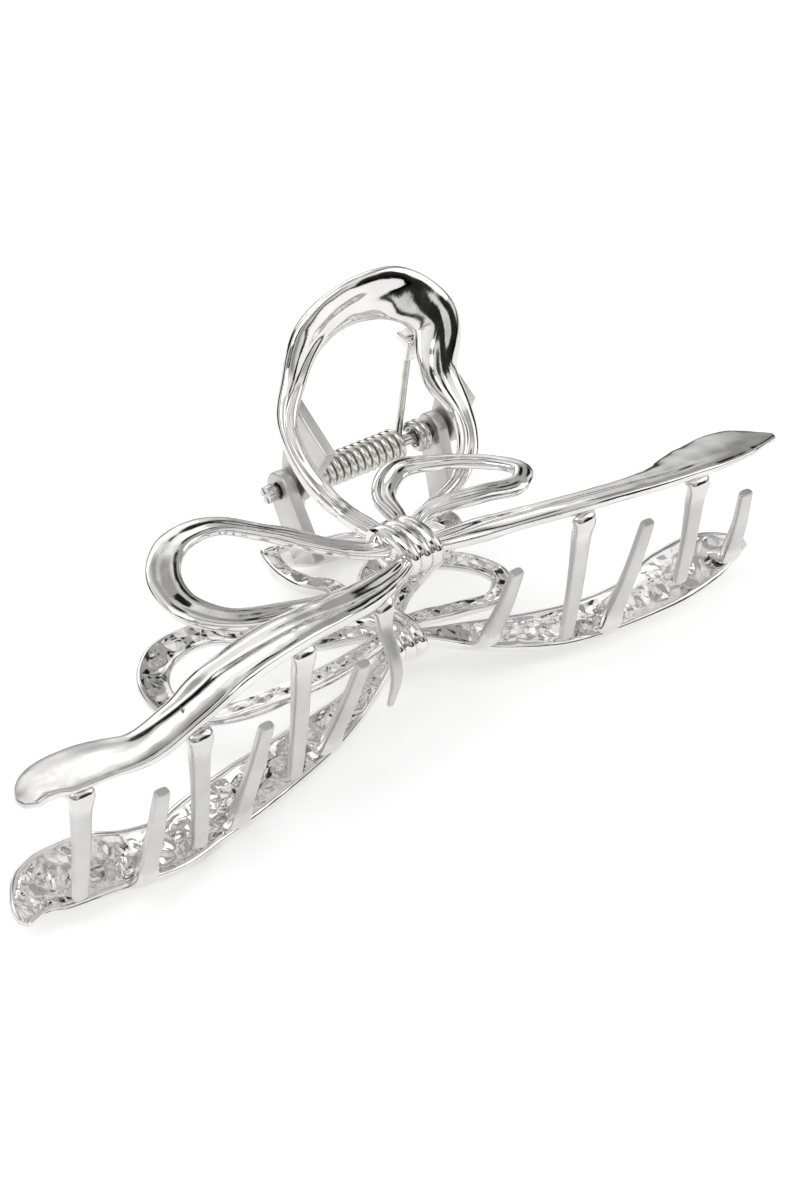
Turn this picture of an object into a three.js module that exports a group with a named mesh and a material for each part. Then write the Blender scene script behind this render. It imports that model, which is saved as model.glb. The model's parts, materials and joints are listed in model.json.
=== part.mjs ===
// Hair claw clip in cast metal: two facing bow-shaped jaws on a sprung hinge.
// Each jaw is a knot with ribbon loops, two leaf-ended tails, six teeth and two hinge lugs.
// Millimetres, +Z up. X runs along the hinge pin, the teeth sit on the -Y side.
import * as THREE from 'three';

// Driving dimensions
const REST_TILT = 14.6;
const SECTION_SIDES = 8;
const STEPS_PER_STATION = 3;

const PIN_RADIUS = 0.8;
const PIN_LEFT = -4.5;
const PIN_RIGHT = 27.8;
const PIN_HEAD_RADIUS = 1.2;
const PIN_LEFT_HEAD = 1.2;
const PIN_RIGHT_HEAD = 1.0;
const PIN_HOLE_RADIUS = 1.1;
const PIN_SIDES = 20;

const LUG_THICKNESS = 1.7;
const LUG_BOSS_RADIUS = 2.5;
const LOWER_LEFT_LUG_X = -2.6;
const UPPER_LEFT_LUG_X = -0.4;
const LOWER_RIGHT_LUG_X = 22.5;
const UPPER_RIGHT_LUG_X = 24.6;

const COIL_START = 3.4;
const COIL_TURNS = 12;
const COIL_PITCH = 1.17;
const COIL_RADIUS = 1.8;
const WIRE_RADIUS = 0.5;
const WIRE_SIDES = 6;
const WIRE_STEPS_PER_TURN = 12;
const LEG_STEPS = 4;
const LEG_GAP = 0.3;
const LOWER_LEG_ROOT = [COIL_RADIUS, -1.2];
const UPPER_LEG_FOOT = [COIL_RADIUS, -0.9];
const UPPER_LEG_TIP = [2.4, 14.2];
const LOWER_LEG_TIP = [2.0, 11.4];
const LOWER_LEG_X = COIL_START;
const UPPER_LEG_X = COIL_START + COIL_TURNS * COIL_PITCH + LEG_GAP + 2 * WIRE_RADIUS;
const SPACER_START = UPPER_LEG_X + 1.1;
const SPACER_TURNS = 2;
const SPACER_PITCH = 0.95;

const KNOT_CENTRE = [-0.4, -23.4, 8];
const KNOT_LENGTH = 6.4;
const KNOT_RADIUS = 3.1;
const KNOT_GROOVE = 0.45;
const KNOT_RIDGES = 3;
const KNOT_END_SHARE = 0.72;
const KNOT_SIDES = 16;

const CATCH_WIDTH = 2.6;
const CATCH_WALL = 1.3;
const CATCH_DEPTH = 3;
const CATCH_LIP = 0.9;
const CATCH_RISE = 2.2;
const CATCH_DROP = 0.9;
const CATCH_FRONT = 1.6;

// Finishes
const bright = { color: 0xdfe1e4, roughness: 0.12, metalness: 1 };
const satin = { color: 0xd8d9da, roughness: 0.38, metalness: 0.9 };
const steel = { color: 0xb8b4a8, roughness: 0.25, metalness: 1 };

// Teeth: where each is rooted on its band, and how far across its tip reaches.
const UPPER_TEETH = [
  { root: [-58.8, -39.4, 9.4], tip: [-40.6, -7.4] },
  { root: [-43.2, -40.0, 11.1], tip: [-42.2, -5.6] },
  { root: [-25.2, -35.3, 11.6], tip: [-36.9, -8.4] },
  { root: [-9.9, -31.4, 8.5], tip: [-35.6, -5.0] },
  { root: [20.8, -32.8, 10.9], tip: [-34.1, -9.2] },
  { root: [39.0, -34.4, 10.5], tip: [-35.4, -6.6] },
];
const LOWER_TEETH = [
  { root: [-49.6, -40.7, 9.6], tip: [-42.3, -7.2] },
  { root: [-33.5, -37.0, 12.0], tip: [-40.2, -7.8] },
  { root: [-17.6, -33.7, 10.3], tip: [-37.8, -8.0] },
  { root: [10.9, -29.9, 8.8], tip: [-32.6, -5.8] },
  { root: [28.6, -34.1, 11.1], tip: [-36.6, -9.6] },
  { root: [50.4, -33.4, 9.0], tip: [-33.4, -2.8] },
];
const TOOTH_ROOT_SIZE = [2.5, 1.9];
const TOOTH_TIP_SIZE = [1.9, 1.3];

// Ribbon stations: centre, [width, thickness], direction that the flat side faces.
const HANDLE_LOOP = [
  [[-1.6, -19.2, 7.3], [2.0, 1.8], [0, 0, 1]],
  [[-2.6, -13.4, 6.8], [2.4, 2.0], [0, 0.2, 1]],
  [[-4.0, -9.2, 8.6], [2.4, 2.2], [0, -0.2, 1]],
  [[-4.0, -4.7, 10.3], [2.3, 2.2], [-0.2, -0.3, 1]],
  [[-2.4, 0.2, 12.0], [2.4, 2.2], [-0.3, -0.6, 0.8]],
  [[0.6, 3.4, 14.6], [3.0, 2.0], [-0.3, -0.9, 0.5]],
  [[4.4, 5.9, 18.8], [4.4, 1.9], [-0.2, -0.95, 0.4]],
  [[10.5, 6.2, 22.0], [5.4, 1.9], [0, -0.95, 0.3]],
  [[17.6, 4.9, 21.9], [6.0, 2.0], [0, -0.95, 0.3]],
  [[21.8, 1.6, 18.4], [5.4, 2.1], [0.1, -0.85, 0.6]],
  [[20.0, -2.6, 13.6], [4.4, 2.0], [0.1, -0.75, 0.7]],
  [[20.8, -7.0, 9.8], [3.4, 2.0], [0.1, -0.6, 0.8]],
  [[19.4, -11.2, 7.4], [2.8, 1.9], [0.2, -0.3, 0.9]],
  [[15.4, -14.8, 5.7], [2.2, 1.6], [0, 0, 1]],
  [[8.4, -17.7, 5.7], [2.2, 1.6], [0, 0, 1]],
  [[4.6, -19.4, 6.2], [2.0, 1.6], [0, 0, 1]],
];
const LEFT_LOOP = [
  [[-4.6, -21.4, 7.4], [2.2, 1.8], [0, 0, 1]],
  [[-9.0, -19.0, 8.2], [3.0, 1.8], [0, 0.2, 1]],
  [[-15.4, -13.4, 9.0], [3.0, 1.7], [0, 0.3, 1]],
  [[-20.6, -9.8, 9.5], [3.4, 1.6], [0, 0.2, 1]],
  [[-27.0, -10.4, 9.6], [4.2, 1.6], [-0.1, 0.1, 1]],
  [[-31.0, -14.6, 9.3], [4.4, 1.6], [-0.2, 0, 1]],
  [[-31.4, -19.8, 9.0], [4.0, 1.6], [-0.1, -0.1, 1]],
  [[-27.4, -23.8, 8.3], [3.2, 1.7], [0, -0.2, 1]],
  [[-19.3, -25.6, 7.3], [2.8, 1.7], [0, -0.1, 1]],
  [[-10.0, -26.1, 6.1], [2.4, 1.6], [0, 0, 1]],
  [[-5.0, -25.4, 5.8], [2.0, 1.6], [0, 0, 1]],
];
const RIGHT_LOOP = [
  [[1.5, -19.2, 8.6], [2.0, 1.6], [0, 0, 1]],
  [[2.6, -14.8, 8.4], [3.2, 1.5], [-0.1, 0, 1]],
  [[7.6, -11.5, 8.3], [3.6, 1.4], [0, 0.1, 1]],
  [[13.0, -13.4, 8.6], [2.6, 1.5], [0, 0.3, 1]],
  [[18.4, -17.0, 9.0], [2.4, 1.5], [0.1, 0.3, 1]],
  [[20.6, -20.4, 9.6], [2.8, 1.5], [0.2, 0, 1]],
  [[18.0, -22.9, 10.0], [2.5, 1.5], [0, -0.2, 1]],
  [[12.6, -22.2, 10.2], [2.3, 1.6], [0, -0.2, 1]],
  [[7.0, -21.2, 10.0], [2.2, 1.6], [0, 0, 1]],
  [[3.9, -21.3, 9.6], [2.0, 1.6], [0, 0, 1]],
];
const LEFT_TAIL = [
  [[-4.8, -27.4, 8.5], [2.6, 1.8], [0, -0.2, 1]],
  [[-10.5, -29.6, 9.8], [4.2, 1.9], [0, 0.1, 1]],
  [[-17.0, -31.0, 11.1], [5.3, 2.0], [0, 0.3, 0.95]],
  [[-26.0, -32.6, 12.2], [6.2, 2.0], [0, 0.4, 0.92]],
  [[-36.0, -34.6, 12.2], [6.4, 2.0], [0, 0.45, 0.9]],
  [[-43.0, -36.8, 11.2], [6.4, 1.8], [0, 0.5, 0.87]],
  [[-49.2, -37.6, 9.2], [6.8, 1.6], [0, 0.55, 0.83]],
  [[-55.5, -36.4, 8.6], [7.8, 1.4], [0, 0.57, 0.82]],
  [[-61.2, -36.0, 8.6], [6.8, 1.2], [0, 0.57, 0.82]],
  [[-65.3, -37.4, 9.4], [1.6, 0.9], [0, 0.62, 0.78]],
];
const RIGHT_TAIL = [
  [[3.8, -25.2, 8.4], [2.6, 1.7], [0, -0.2, 1]],
  [[12.0, -27.9, 10.0], [4.4, 1.8], [0, 0.3, 0.95]],
  [[23.0, -30.8, 11.3], [5.6, 1.9], [0, 0.5, 0.87]],
  [[33.4, -31.9, 11.2], [5.8, 1.9], [0, 0.5, 0.87]],
  [[42.0, -31.4, 10.4], [7.2, 1.6], [0, 0.4, 0.9]],
  [[49.5, -31.0, 9.8], [6.0, 1.3], [0, 0.3, 0.95]],
  [[54.8, -31.8, 9.5], [1.2, 0.9], [0, 0.3, 0.95]],
];

function part(name, geometry, finish) {
  const mesh = new THREE.Mesh(geometry, new THREE.MeshStandardMaterial(finish));
  mesh.name = name;
  return mesh;
}

// A closed skin over rings of points, with a flat cap at each end.
function loft(rings) {
  const sides = rings[0].length;
  const positions = rings.flat().flatMap((point) => point.toArray());
  const faces = [];
  for (let ring = 0; ring + 1 < rings.length; ring += 1) {
    for (let side = 0; side < sides; side += 1) {
      const next = (side + 1) % sides;
      const a = ring * sides + side;
      const b = ring * sides + next;
      faces.push(a, b, b + sides, a, b + sides, a + sides);
    }
  }
  const last = (rings.length - 1) * sides;
  for (let side = 1; side + 1 < sides; side += 1) {
    faces.push(0, side + 1, side);
    faces.push(last, last + side, last + side + 1);
  }
  const geometry = new THREE.BufferGeometry();
  geometry.setAttribute('position', new THREE.Float32BufferAttribute(positions, 3));
  geometry.setIndex(faces);
  geometry.computeVertexNormals();
  return geometry;
}

// A flat band with rounded edges that follows its stations and turns with them.
function ribbon(stations) {
  const through = (column) => {
    const points = stations.map((station) => new THREE.Vector3(...station[column], 0));
    return new THREE.CatmullRomCurve3(points, false, 'catmullrom', 0.5);
  };
  const centres = new THREE.CatmullRomCurve3(stations.map((station) => new THREE.Vector3(...station[0])));
  const sizes = through(1);
  const facings = new THREE.CatmullRomCurve3(stations.map((station) => new THREE.Vector3(...station[2])));
  const steps = (stations.length - 1) * STEPS_PER_STATION;
  const rings = [];
  for (let step = 0; step <= steps; step += 1) {
    const along = step / steps;
    const centre = centres.getPoint(along);
    const size = sizes.getPoint(along);
    const tangent = centres.getTangent(along);
    const across = new THREE.Vector3().crossVectors(facings.getPoint(along), tangent).normalize();
    const facing = new THREE.Vector3().crossVectors(tangent, across).normalize();
    const ring = [];
    for (let side = 0; side < SECTION_SIDES; side += 1) {
      const angle = (side + 0.5) * 2 * Math.PI / SECTION_SIDES;
      const out = across.clone().multiplyScalar(Math.cos(angle) * size.x / 2);
      ring.push(out.addScaledVector(facing, Math.sin(angle) * size.y / 2).add(centre));
    }
    rings.push(ring);
  }
  return loft(rings);
}

// A straight tapered bar from its root on the band to its blunt tip.
function tooth({ root, tip }) {
  const ends = [
    { at: new THREE.Vector3(...root), size: TOOTH_ROOT_SIZE },
    { at: new THREE.Vector3(root[0], ...tip), size: TOOTH_TIP_SIZE },
  ];
  const corners = [[-0.5, -0.5], [-0.5, 0.5], [0.5, 0.5], [0.5, -0.5]];
  const rings = ends.map(({ at, size }) => corners.map(([x, y]) => (
    new THREE.Vector3(at.x + x * size[0], at.y + y * size[1], at.z)
  )));
  return loft(rings);
}

// Shapes drawn in Y and Z, given a thickness along X.
function plate(shape, x, thickness) {
  const settings = { depth: thickness, bevelEnabled: false, curveSegments: 12 };
  const geometry = new THREE.ExtrudeGeometry(shape, settings);
  const turn = new THREE.Matrix4().makeBasis(
    new THREE.Vector3(0, 1, 0),
    new THREE.Vector3(0, 0, 1),
    new THREE.Vector3(1, 0, 0),
  );
  return geometry.applyMatrix4(turn).translate(x, 0, 0);
}

// A hinge lug: a round boss on the pin that runs out to two corners under the handle.
function lug(x, corners) {
  const middle = [(corners[0][0] + corners[1][0]) / 2, (corners[0][1] + corners[1][1]) / 2];
  const heading = Math.atan2(middle[1], middle[0]);
  const shape = new THREE.Shape();
  shape.absarc(0, 0, LUG_BOSS_RADIUS, heading + Math.PI / 2, heading + 1.5 * Math.PI, false);
  shape.lineTo(...corners[0]);
  shape.lineTo(...corners[1]);
  shape.closePath();
  const hole = new THREE.Path();
  hole.absarc(0, 0, PIN_HOLE_RADIUS, 0, 2 * Math.PI, true);
  shape.holes.push(hole);
  return plate(shape, x, LUG_THICKNESS);
}

// The hook under the handle arch that stops the tip of a spring leg.
function springCatch(x, [legY, legZ]) {
  const top = legZ + CATCH_RISE;
  const bottom = legZ - CATCH_DROP;
  const front = legY - CATCH_FRONT;
  const back = front + CATCH_DEPTH;
  const shape = new THREE.Shape();
  shape.moveTo(front, bottom);
  shape.lineTo(front, top);
  shape.lineTo(back, top);
  shape.lineTo(back, top - CATCH_WALL);
  shape.lineTo(front + CATCH_LIP, top - CATCH_WALL);
  shape.lineTo(front + CATCH_LIP, bottom);
  shape.closePath();
  return plate(shape, x - CATCH_WIDTH / 2, CATCH_WIDTH);
}

// The wrapped knot: a barrel along X with raised turns.
function knot() {
  const steps = KNOT_RIDGES * 4;
  const profile = [new THREE.Vector2(0, -KNOT_LENGTH / 2)];
  for (let step = 0; step <= steps; step += 1) {
    const along = step / steps;
    const swell = KNOT_END_SHARE + (1 - KNOT_END_SHARE) * Math.sin(Math.PI * along);
    const ridge = KNOT_GROOVE * Math.abs(Math.sin(KNOT_RIDGES * Math.PI * along));
    const radius = (KNOT_RADIUS - KNOT_GROOVE) * swell + ridge;
    profile.push(new THREE.Vector2(radius, (along - 0.5) * KNOT_LENGTH));
  }
  profile.push(new THREE.Vector2(0, KNOT_LENGTH / 2));
  const geometry = new THREE.LatheGeometry(profile, KNOT_SIDES);
  return geometry.rotateZ(-Math.PI / 2).translate(...KNOT_CENTRE);
}

function hingePin() {
  const profile = [
    new THREE.Vector2(0, PIN_LEFT),
    new THREE.Vector2(PIN_HEAD_RADIUS, PIN_LEFT),
    new THREE.Vector2(PIN_HEAD_RADIUS, PIN_LEFT + PIN_LEFT_HEAD),
    new THREE.Vector2(PIN_RADIUS, PIN_LEFT + PIN_LEFT_HEAD),
    new THREE.Vector2(PIN_RADIUS, PIN_RIGHT - PIN_RIGHT_HEAD),
    new THREE.Vector2(PIN_HEAD_RADIUS, PIN_RIGHT - PIN_RIGHT_HEAD),
    new THREE.Vector2(PIN_HEAD_RADIUS, PIN_RIGHT),
    new THREE.Vector2(0, PIN_RIGHT),
  ];
  return new THREE.LatheGeometry(profile, PIN_SIDES).rotateZ(-Math.PI / 2);
}

// Round wire swept along a list of points.
function wire(points) {
  const path = new THREE.CatmullRomCurve3(points);
  const rings = [];
  let across = new THREE.Vector3(1, 0, 0);
  for (let index = 0; index < points.length; index += 1) {
    const along = index / (points.length - 1);
    const tangent = path.getTangent(along);
    across = across.clone().addScaledVector(tangent, -across.dot(tangent)).normalize();
    const up = new THREE.Vector3().crossVectors(tangent, across);
    const ring = [];
    for (let side = 0; side < WIRE_SIDES; side += 1) {
      const angle = side * 2 * Math.PI / WIRE_SIDES;
      const out = across.clone().multiplyScalar(WIRE_RADIUS * Math.cos(angle));
      ring.push(out.addScaledVector(up, WIRE_RADIUS * Math.sin(angle)).add(points[index]));
    }
    rings.push(ring);
  }
  return loft(rings);
}

// Points of a helix round the pin.
function helix(start, turns, pitch) {
  const points = [];
  for (let step = 0; step <= turns * WIRE_STEPS_PER_TURN; step += 1) {
    const turn = step / WIRE_STEPS_PER_TURN;
    const angle = turn * 2 * Math.PI;
    points.push(new THREE.Vector3(
      start + turn * pitch,
      COIL_RADIUS * Math.cos(angle),
      COIL_RADIUS * Math.sin(angle),
    ));
  }
  return points;
}

// Evenly spaced points of a straight spring leg.
function leg(from, to) {
  const steps = Array.from({ length: LEG_STEPS + 1 }, (_, step) => step / LEG_STEPS);
  return steps.map((along) => from.clone().lerp(to, along));
}

// The coil with its lower leg, which bears on the lower handle.
function torsionSpring() {
  const tip = new THREE.Vector3(LOWER_LEG_X, LOWER_LEG_TIP[0], -LOWER_LEG_TIP[1]);
  const root = new THREE.Vector3(LOWER_LEG_X, ...LOWER_LEG_ROOT);
  return wire([...leg(tip, root), ...helix(COIL_START, COIL_TURNS, COIL_PITCH)]);
}

// The upper leg rises beside the last turn and bears on the upper handle.
function upperLeg() {
  const foot = new THREE.Vector3(UPPER_LEG_X, ...UPPER_LEG_FOOT);
  const tip = new THREE.Vector3(UPPER_LEG_X, ...UPPER_LEG_TIP);
  return wire(leg(foot, tip));
}

// One jaw, drawn as the upper one. The lower jaw is the same jaw seen in a mirror.
function jaw(side, teeth, lugs, legX, legTip) {
  const group = new THREE.Group();
  group.add(part(`${side}_knot`, knot(), bright));
  group.add(part(`${side}_handle_loop`, ribbon(HANDLE_LOOP), bright));
  group.add(part(`${side}_left_loop`, ribbon(LEFT_LOOP), bright));
  group.add(part(`${side}_right_loop`, ribbon(RIGHT_LOOP), bright));
  group.add(part(`${side}_left_tail`, ribbon(LEFT_TAIL), bright));
  group.add(part(`${side}_right_tail`, ribbon(RIGHT_TAIL), bright));
  teeth.forEach((place, index) => {
    group.add(part(`${side}_tooth_${index + 1}`, tooth(place), satin));
  });
  group.add(part(`${side}_left_lug`, lug(lugs.leftX, lugs.leftCorners), satin));
  group.add(part(`${side}_right_lug`, lug(lugs.rightX, lugs.rightCorners), satin));
  group.add(part(`${side}_spring_catch`, springCatch(legX, legTip), bright));
  return group;
}

const upperJaw = jaw('upper', UPPER_TEETH, {
  leftX: UPPER_LEFT_LUG_X,
  leftCorners: [[3.2, 12.4], [-5.6, 8.9]],
  rightX: UPPER_RIGHT_LUG_X,
  rightCorners: [[1.4, 7.8], [-3.8, 5.8]],
}, UPPER_LEG_X, UPPER_LEG_TIP);

const lowerJaw = jaw('lower', LOWER_TEETH, {
  leftX: LOWER_LEFT_LUG_X,
  leftCorners: [[-5.4, 7.6], [-8.6, 4.0]],
  rightX: LOWER_RIGHT_LUG_X,
  rightCorners: [[-2.4, 9.4], [-6.7, 7.2]],
}, LOWER_LEG_X, LOWER_LEG_TIP);
lowerJaw.scale.z = -1;

const hinge = new THREE.Group();
hinge.add(part('hinge_pin', hingePin(), steel));
hinge.add(part('torsion_spring', torsionSpring(), steel));
hinge.add(part('spring_upper_leg', upperLeg(), steel));
const spacerPoints = helix(SPACER_START, SPACER_TURNS, SPACER_PITCH);
hinge.add(part('spacer_coil', wire(spacerPoints), steel));

const clip = new THREE.Group();
clip.add(upperJaw, lowerJaw, hinge);
clip.rotation.x = THREE.MathUtils.degToRad(REST_TILT);

// The clip lies on its lower handle and lower leaves, centred over the origin.
const model = new THREE.Group();
model.add(clip);
const extent = new THREE.Box3().setFromObject(model, true);
const middle = extent.getCenter(new THREE.Vector3());
clip.position.set(-middle.x, -middle.y, -extent.min.z);

export default model;
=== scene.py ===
import json
import math

import bmesh
import bpy
import numpy as np
from mathutils import Matrix, Vector


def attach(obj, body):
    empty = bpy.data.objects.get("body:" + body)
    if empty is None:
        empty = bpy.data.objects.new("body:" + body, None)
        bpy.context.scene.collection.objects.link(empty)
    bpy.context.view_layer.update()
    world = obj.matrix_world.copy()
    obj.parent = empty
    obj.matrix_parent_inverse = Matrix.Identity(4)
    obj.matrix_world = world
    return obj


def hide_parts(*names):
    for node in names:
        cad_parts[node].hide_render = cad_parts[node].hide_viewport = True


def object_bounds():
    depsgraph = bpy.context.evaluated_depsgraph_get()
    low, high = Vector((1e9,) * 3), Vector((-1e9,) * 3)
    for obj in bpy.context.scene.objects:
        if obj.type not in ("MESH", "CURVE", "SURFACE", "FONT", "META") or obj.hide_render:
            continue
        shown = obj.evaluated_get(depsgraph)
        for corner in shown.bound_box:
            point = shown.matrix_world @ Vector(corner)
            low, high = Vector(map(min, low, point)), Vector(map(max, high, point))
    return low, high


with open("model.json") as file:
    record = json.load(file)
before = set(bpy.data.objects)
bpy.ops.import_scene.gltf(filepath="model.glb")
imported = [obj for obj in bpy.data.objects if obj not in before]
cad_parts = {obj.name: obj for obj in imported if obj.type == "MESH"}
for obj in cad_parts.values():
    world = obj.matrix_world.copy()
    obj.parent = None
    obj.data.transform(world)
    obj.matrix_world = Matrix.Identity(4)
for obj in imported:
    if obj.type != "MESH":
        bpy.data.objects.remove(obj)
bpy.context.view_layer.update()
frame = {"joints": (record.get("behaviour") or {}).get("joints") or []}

# The clip is drawn in millimetres about its hinge axis: X along the pin, teeth on the -Y side,
# the upper jaw above. The lower jaw is the upper one seen in a mirror.
MM = 0.001
REST_TILT = math.radians(14.6)
HINGE = Vector(frame["joints"][0]["pos_m"])
PLACE_CLIP = Matrix.Translation(HINGE) @ Matrix.Rotation(REST_TILT, 4, "X") @ Matrix.Scale(MM, 4)
MIRROR = {"upper": Matrix.Identity(4), "lower": Matrix.Diagonal((1, 1, -1, 1))}
BODY = {"upper": "upper_jaw", "lower": "lower_jaw"}

# Ribbon stations: centre, width and thickness, direction that the outer face looks.
HANDLE_LOOP = [
    (-0.9, -22.6, 7.6, 1.6, 1.6, 0, 0, 1),
    (-1.6, -19.2, 7.3, 2.3, 1.9, 0, 0, 1),
    (-2.6, -13.4, 6.8, 2.8, 2.0, 0, 0.2, 1),
    (-4.0, -9.2, 8.6, 2.8, 2.2, 0, -0.2, 1),
    (-4.0, -4.7, 10.3, 2.6, 2.2, -0.2, -0.3, 1),
    (-2.4, 0.2, 12.0, 2.7, 2.2, -0.3, -0.6, 0.8),
    (0.6, 3.4, 14.6, 3.4, 2.1, -0.3, -0.9, 0.5),
    (4.4, 5.9, 18.8, 4.8, 2.0, -0.2, -0.95, 0.4),
    (10.5, 6.2, 22.0, 6.2, 1.9, 0, -0.95, 0.3),
    (17.6, 4.9, 21.9, 7.2, 2.1, 0.2, -0.92, 0.36),
    (21.8, 1.6, 18.4, 7.0, 2.2, -0.15, -0.85, 0.6),
    (20.0, -2.6, 13.6, 6.2, 2.1, 0.15, -0.75, 0.7),
    (20.8, -7.0, 9.8, 3.6, 2.0, 0.1, -0.6, 0.8),
    (19.4, -11.2, 7.4, 2.9, 1.9, 0.2, -0.3, 0.9),
    (15.4, -14.8, 5.7, 2.4, 1.7, 0, 0, 1),
    (8.4, -17.7, 5.7, 2.4, 1.7, 0, 0, 1),
    (4.6, -19.4, 6.2, 2.2, 1.7, 0, 0, 1),
    (0.6, -22.4, 7.0, 1.8, 1.6, 0, 0, 1),
]
LEFT_LOOP = [
    (-1.6, -22.8, 7.8, 1.8, 1.6, 0, 0, 1),
    (-4.6, -21.4, 7.4, 2.4, 1.8, 0, 0, 1),
    (-9.0, -19.0, 8.2, 3.2, 1.8, 0, 0.2, 1),
    (-15.4, -13.4, 9.0, 3.2, 1.7, 0, 0.3, 1),
    (-20.6, -9.8, 9.5, 3.6, 1.6, 0, 0.2, 1),
    (-27.0, -10.4, 9.6, 4.3, 1.6, -0.1, 0.1, 1),
    (-31.0, -14.6, 9.3, 4.5, 1.6, -0.2, 0, 1),
    (-31.4, -19.8, 9.0, 4.1, 1.6, -0.1, -0.1, 1),
    (-27.4, -23.8, 8.3, 3.3, 1.7, 0, -0.2, 1),
    (-19.3, -25.6, 7.3, 2.9, 1.7, 0, -0.1, 1),
    (-10.0, -26.1, 6.1, 2.5, 1.6, 0, 0, 1),
    (-5.0, -25.4, 5.8, 2.2, 1.6, 0, 0, 1),
    (-1.4, -24.2, 6.4, 1.8, 1.5, 0, 0, 1),
]
RIGHT_LOOP = [
    (0.6, -22.4, 8.6, 1.8, 1.5, 0, 0, 1),
    (1.5, -19.2, 8.6, 2.4, 1.6, 0, 0, 1),
    (2.6, -14.8, 8.4, 3.2, 1.5, -0.1, 0, 1),
    (7.6, -11.5, 8.3, 3.6, 1.4, 0, 0.1, 1),
    (13.0, -13.4, 8.6, 2.8, 1.5, 0, 0.3, 1),
    (18.4, -17.0, 9.0, 2.6, 1.5, 0.1, 0.3, 1),
    (20.6, -20.4, 9.6, 2.8, 1.5, 0.2, 0, 1),
    (18.0, -22.9, 10.0, 2.6, 1.5, 0, -0.2, 1),
    (12.6, -22.2, 10.2, 2.4, 1.6, 0, -0.2, 1),
    (7.0, -21.2, 10.0, 2.4, 1.6, 0, 0, 1),
    (3.9, -21.3, 9.6, 2.2, 1.6, 0, 0, 1),
    (0.8, -22.8, 8.8, 1.8, 1.5, 0, 0, 1),
]
LEFT_TAIL = [
    (-1.2, -25.4, 7.8, 2.0, 1.8, 0, -0.2, 1),
    (-4.8, -27.4, 8.5, 3.0, 2.0, 0, -0.2, 1),
    (-10.5, -29.6, 9.8, 4.4, 2.1, 0, 0.1, 1),
    (-17.0, -31.0, 11.1, 6.2, 2.3, 0, 0.25, 0.95),
    (-26.0, -32.4, 12.2, 7.3, 2.4, 0, 0.32, 0.94),
    (-36.0, -34.4, 12.2, 7.6, 2.4, 0, 0.38, 0.92),
    (-43.0, -36.5, 11.3, 7.2, 2.1, 0, 0.4, 0.91),
    (-49.2, -37.1, 9.5, 7.4, 1.8, 0, 0.36, 0.93),
    (-55.5, -35.8, 9.1, 8.8, 1.5, 0, 0.32, 0.95),
    (-61.2, -36.0, 9.1, 7.6, 1.4, 0, 0.32, 0.95),
    (-63.7, -37.3, 9.4, 4.8, 1.4, 0, 0.45, 0.89),
    (-65.1, -38.9, 10.1, 1.5, 1.1, 0, 0.5, 0.86),
]
RIGHT_TAIL = [
    (0.8, -24.2, 8.0, 2.0, 1.6, 0, -0.2, 1),
    (3.8, -25.2, 8.4, 2.8, 1.8, 0, -0.2, 1),
    (12.0, -27.9, 10.0, 4.5, 1.9, 0, 0.3, 0.95),
    (23.0, -30.8, 11.3, 5.6, 1.9, 0, 0.5, 0.87),
    (33.4, -31.9, 11.2, 6.2, 1.9, 0, 0.42, 0.9),
    (42.0, -31.2, 10.6, 8.2, 1.7, 0, 0.32, 0.94),
    (49.5, -30.8, 10.0, 7.0, 1.4, 0, 0.26, 0.96),
    (53.4, -31.5, 9.6, 3.4, 1.2, 0, 0.3, 0.95),
    (54.9, -31.9, 9.5, 1.4, 1.0, 0, 0.3, 0.95),
]

# Relief of each ribbon: share of its length, where the fold runs, its depth, depth of the hollow back, satin.
HANDLE_RELIEF = [(0, 0, 0.2, 0.3, 0), (0.25, 0.2, 0.45, 0.3, 0), (0.4, -0.3, 0.25, 0.6, 0),
                 (0.55, 0.3, 0.1, 0.6, 0), (0.7, -0.2, 0.35, 0.4, 0), (1, 0.1, 0.2, 0.4, 0)]
LOOP_RELIEF = [(0, 0, 0.25, 0.4, 0), (0.3, 0.3, 0.3, 0.6, 0), (0.55, -0.2, 0.12, 0.6, 0), (1, 0, 0.3, 0.4, 0)]
LEFT_TAIL_RELIEF = [(0, 0, 0.3, 0.4, 0), (0.25, 0.25, 0.4, 0.6, 0), (0.5, -0.25, 0.42, 0.7, 0),
                    (0.66, -0.55, 0.2, 0.75, 0.35), (0.78, -0.6, 0.05, 0.8, 1), (1, -0.6, 0, 0.5, 1)]
RIGHT_TAIL_RELIEF = [(0, 0, 0.3, 0.4, 0), (0.35, 0.2, 0.35, 0.6, 0), (0.55, -0.3, 0.3, 0.7, 0),
                     (0.72, -0.5, 0.1, 0.8, 0.1), (1, -0.5, 0, 0.5, 0.2)]
RIBBONS = {
    "handle_loop": (HANDLE_LOOP, HANDLE_RELIEF),
    "left_loop": (LEFT_LOOP, LOOP_RELIEF),
    "right_loop": (RIGHT_LOOP, LOOP_RELIEF),
    "left_tail": (LEFT_TAIL, LEFT_TAIL_RELIEF),
    "right_tail": (RIGHT_TAIL, RIGHT_TAIL_RELIEF),
}
RIBBON_SIDES = 44
RIBBON_CORNERS = (0.85, 0.62)
FOLD_WIDTH = 0.26
HOLLOW_REACH = 0.82
HAMMER_REACH = 0.8
FADE_RINGS = 12
RINGS_PER_STATION = 9
HAMMER_DEPTH = 0.85
HAMMER_CELL = 3.2
SWELL_DEPTH = 0.36
SWELL_SIZE = 6.5

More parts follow.
